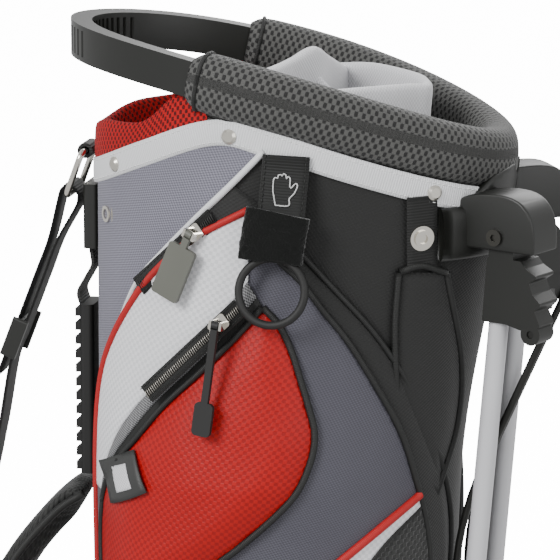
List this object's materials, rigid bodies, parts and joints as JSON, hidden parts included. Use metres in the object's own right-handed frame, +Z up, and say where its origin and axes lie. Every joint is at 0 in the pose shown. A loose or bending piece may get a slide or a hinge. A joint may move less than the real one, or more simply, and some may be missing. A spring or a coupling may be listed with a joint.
{
  "type": "golf stand bag",
  "caption": "Oval golf bag with a rigid carry ring, padded cuff, club dividers, side pockets, shoulder strap and a pair of legs that swing out when its foot plate folds.",
  "frame": {"origin": "centre of the oval base, on the ground", "axes": "+Z up, +X towards the legs, -X towards the carrying spine and strap, -Y towards the bag's right side with the valuables pocket"},
  "size_m": [0.4306, 0.2386, 0.8844],
  "materials": {
    "shell_fabric": "woven ripstop, matt",
    "throat_mesh": "red spacer mesh",
    "cuff_mesh": "dark grey spacer mesh",
    "white_webbing": "ribbed white webbing",
    "divider_fabric": "dark mesh over board",
    "divider_binding": "ribbed light grey webbing",
    "ring_plastic": "moulded, fine grain",
    "black_plastic": "moulded, satin",
    "boot_plastic": "moulded, grained",
    "felt": "felt",
    "stay": "glass fibre rod",
    "leg_paint": "silver-white, satin",
    "spring_wire": "black coated spring wire",
    "foot_rubber": "moulded rubber",
    "screw_steel": "blackened steel",
    "pearl_metal": "nickel, satin",
    "pocket_fabric": "grey ripstop with coloured panels",
    "red_fabric": "red hexagon ripstop",
    "zip_tape": "coil zip on woven tape",
    "zip_metal": "nickel",
    "pull_rubber": "grey moulded rubber, white rim",
    "cord_black": "black cord and moulded end",
    "label_fabric": "woven label",
    "black_webbing": "black webbing",
    "black_rubber": "matt rubber",
    "black_mesh": "black spacer mesh"
  },
  "bodies": {
    "bag": {"body_shell": "shell_fabric", "throat_wall": "throat_mesh", "rim_band": "white_webbing", "rim_rivets": "pearl_metal", "top_ring": "ring_plastic", "cuff_padding": "cuff_mesh", "divider_rear": "divider_fabric", "divider_front": "divider_fabric", "divider_centre": "divider_fabric", "divider_bindings": "divider_binding", "base_boot": "boot_plastic", "floor_pad": "felt", "spine_stays": "stay", "foot_hinge_pin": "screw_steel", "leg_bracket": "black_plastic", "leg_pivot_screws": "screw_steel", "garment_pocket_right": "pocket_fabric", "garment_pocket_left": "pocket_fabric", "valuables_pocket": "red_fabric", "zip_tape_main": "zip_tape", "zip_tape_inner": "zip_tape", "pocket_label": "label_fabric", "glove_tab": "black_webbing", "umbrella_sleeve": "shell_fabric", "umbrella_strap": "black_webbing", "snap_studs": "pearl_metal", "spine_plate": "black_plastic", "spine_grip": "black_plastic", "grip_webbing": "black_webbing", "strap_tab": "black_webbing", "strap_webbing": "black_webbing", "shoulder_pad": "black_mesh"},
    "leg_right": {"leg_sleeve_right": "black_plastic", "leg_tube_right": "leg_paint", "leg_foot_right": "foot_rubber"},
    "leg_left": {"leg_sleeve_left": "black_plastic", "leg_tube_left": "leg_paint", "leg_foot_left": "foot_rubber"},
    "rod_right": {"rod_right": "spring_wire"},
    "rod_left": {"rod_left": "spring_wire"},
    "foot_plate": {"foot_plate": "boot_plastic"},
    "zip_slider_main": {"zip_slider_main": "zip_metal"},
    "zip_slider_inner": {"zip_slider_inner": "zip_metal"},
    "zip_pull_main": {"zip_pull_main": "pull_rubber"},
    "zip_pull_inner": {"zip_pull_inner": "cord_black"},
    "glove_ring": {"glove_ring": "black_rubber"},
    "strap_ring": {"strap_ring": "zip_metal"},
    "strap_buckle": {"strap_buckle": "black_plastic"}
  },
  "joints": [
    {"name": "leg_right_swing", "type": "hinge", "parent": "bag", "child": "leg_right", "pos_m": [0.155, -0.052, 0.768], "axis": [-0.4226, -0.9063, 0], "range_deg": [0, 30], "stiffness_Nm_per_rad": 0.3, "springref_deg": -28.65},
    {"name": "leg_left_swing", "type": "hinge", "parent": "bag", "child": "leg_left", "pos_m": [0.155, 0.052, 0.768], "axis": [0.4226, -0.9063, 0], "range_deg": [0, 30]},
    {"name": "rod_right_hinge", "type": "hinge", "parent": "leg_right", "child": "rod_right", "pos_m": [0.17585, -0.06172, 0.712], "axis": [-0.4226, -0.9063, 0], "range_deg": [-33, 0]},
    {"name": "rod_left_hinge", "type": "hinge", "parent": "leg_left", "child": "rod_left", "pos_m": [0.17585, 0.06172, 0.712], "axis": [0.4226, -0.9063, 0], "range_deg": [-33, 0]},
    {"name": "foot_plate_fold", "type": "hinge", "parent": "bag", "child": "foot_plate", "pos_m": [0.025, 0, 0.006], "axis": [0, -1, 0], "range_deg": [0, 15]},
    {"name": "zip_main_travel", "type": "slide", "parent": "bag", "child": "zip_slider_main", "axis": [-0.7098, 0.1847, -0.6798], "range_m": [0, 0.036]},
    {"name": "zip_inner_travel", "type": "slide", "parent": "bag", "child": "zip_slider_inner", "axis": [-0.7085, 0.1086, -0.6973], "range_m": [0, 0.05]},
    {"name": "zip_main_pull", "type": "hinge", "parent": "zip_slider_main", "child": "zip_pull_main", "pos_m": [-0.02668, -0.09524, 0.76848], "axis": [-0.8641, 0.352, 0.3598], "range_deg": [0, 100]},
    {"name": "zip_inner_pull", "type": "hinge", "parent": "zip_slider_inner", "child": "zip_pull_inner", "pos_m": [-0.00707, -0.11316, 0.71875], "axis": [-0.9614, 0.2588, 0.0936], "range_deg": [0, 100]},
    {"name": "glove_ring_swing", "type": "hinge", "parent": "bag", "child": "glove_ring", "pos_m": [0.025, -0.10536, 0.75857], "axis": [-1, 0, 0], "range_deg": [0, 40]},
    {"name": "strap_ring_swing", "type": "hinge", "parent": "bag", "child": "strap_ring", "pos_m": [-0.1115, 0, 0.801], "axis": [0, 1, 0], "range_deg": [-2.3, 2.3]},
    {"name": "strap_buckle_slide", "type": "slide", "parent": "bag", "child": "strap_buckle", "axis": [0.3621, 0, 0.9322], "range_m": [-0.006, 0.006]}
  ],
  "couplings": [
    {"joint": "leg_left_swing", "follows": "leg_right_swing", "ratio": 1},
    {"joint": "rod_right_hinge", "follows": "leg_right_swing", "ratio": -1.0775},
    {"joint": "rod_left_hinge", "follows": "leg_right_swing", "ratio": -1.0775},
    {"joint": "foot_plate_fold", "follows": "leg_right_swing", "ratio": 0.5}
  ]
}
